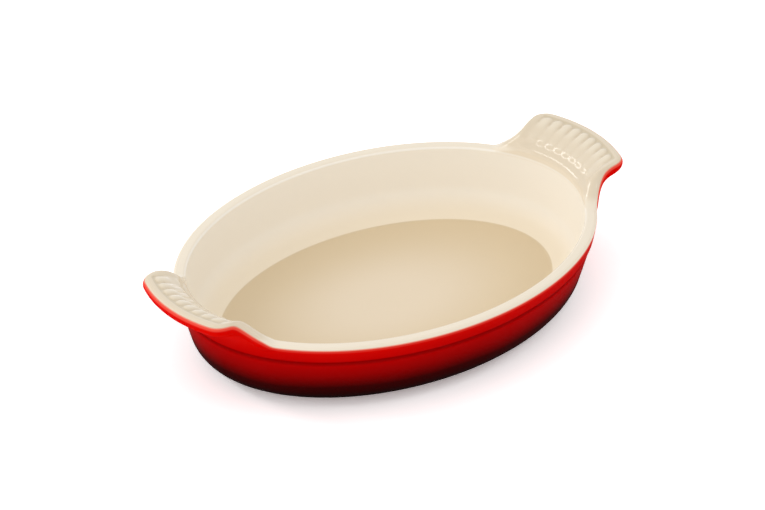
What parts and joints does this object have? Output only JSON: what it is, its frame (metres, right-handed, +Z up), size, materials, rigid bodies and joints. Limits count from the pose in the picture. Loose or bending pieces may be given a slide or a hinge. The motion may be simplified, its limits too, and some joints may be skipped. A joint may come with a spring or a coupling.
{
  "type": "gratin dish",
  "caption": "Oval glazed stoneware gratin dish with a flat lip, a soft groove under the rim and a fluted lug handle at each end.",
  "frame": {"origin": "under the middle of the oval, on the plane that the foot ring stands on", "axes": "+X towards the right handle, along the dish; +Z up, out of the open basin; Y across the dish"},
  "size_m": [0.2794, 0.1768, 0.0587],
  "materials": {
    "stoneware": "fired, unglazed",
    "cream_glaze": "glossy cream glaze",
    "red_glaze": "glossy red glaze, darker towards the foot",
    "dark_glaze": "glossy near-black red glaze"
  },
  "bodies": {
    "root": {"basin": "stoneware", "left_handle": "cream_glaze", "right_handle": "cream_glaze", "interior_glaze": "cream_glaze", "exterior_glaze": "red_glaze", "base_glaze": "dark_glaze"}
  },
  "joints": []
}
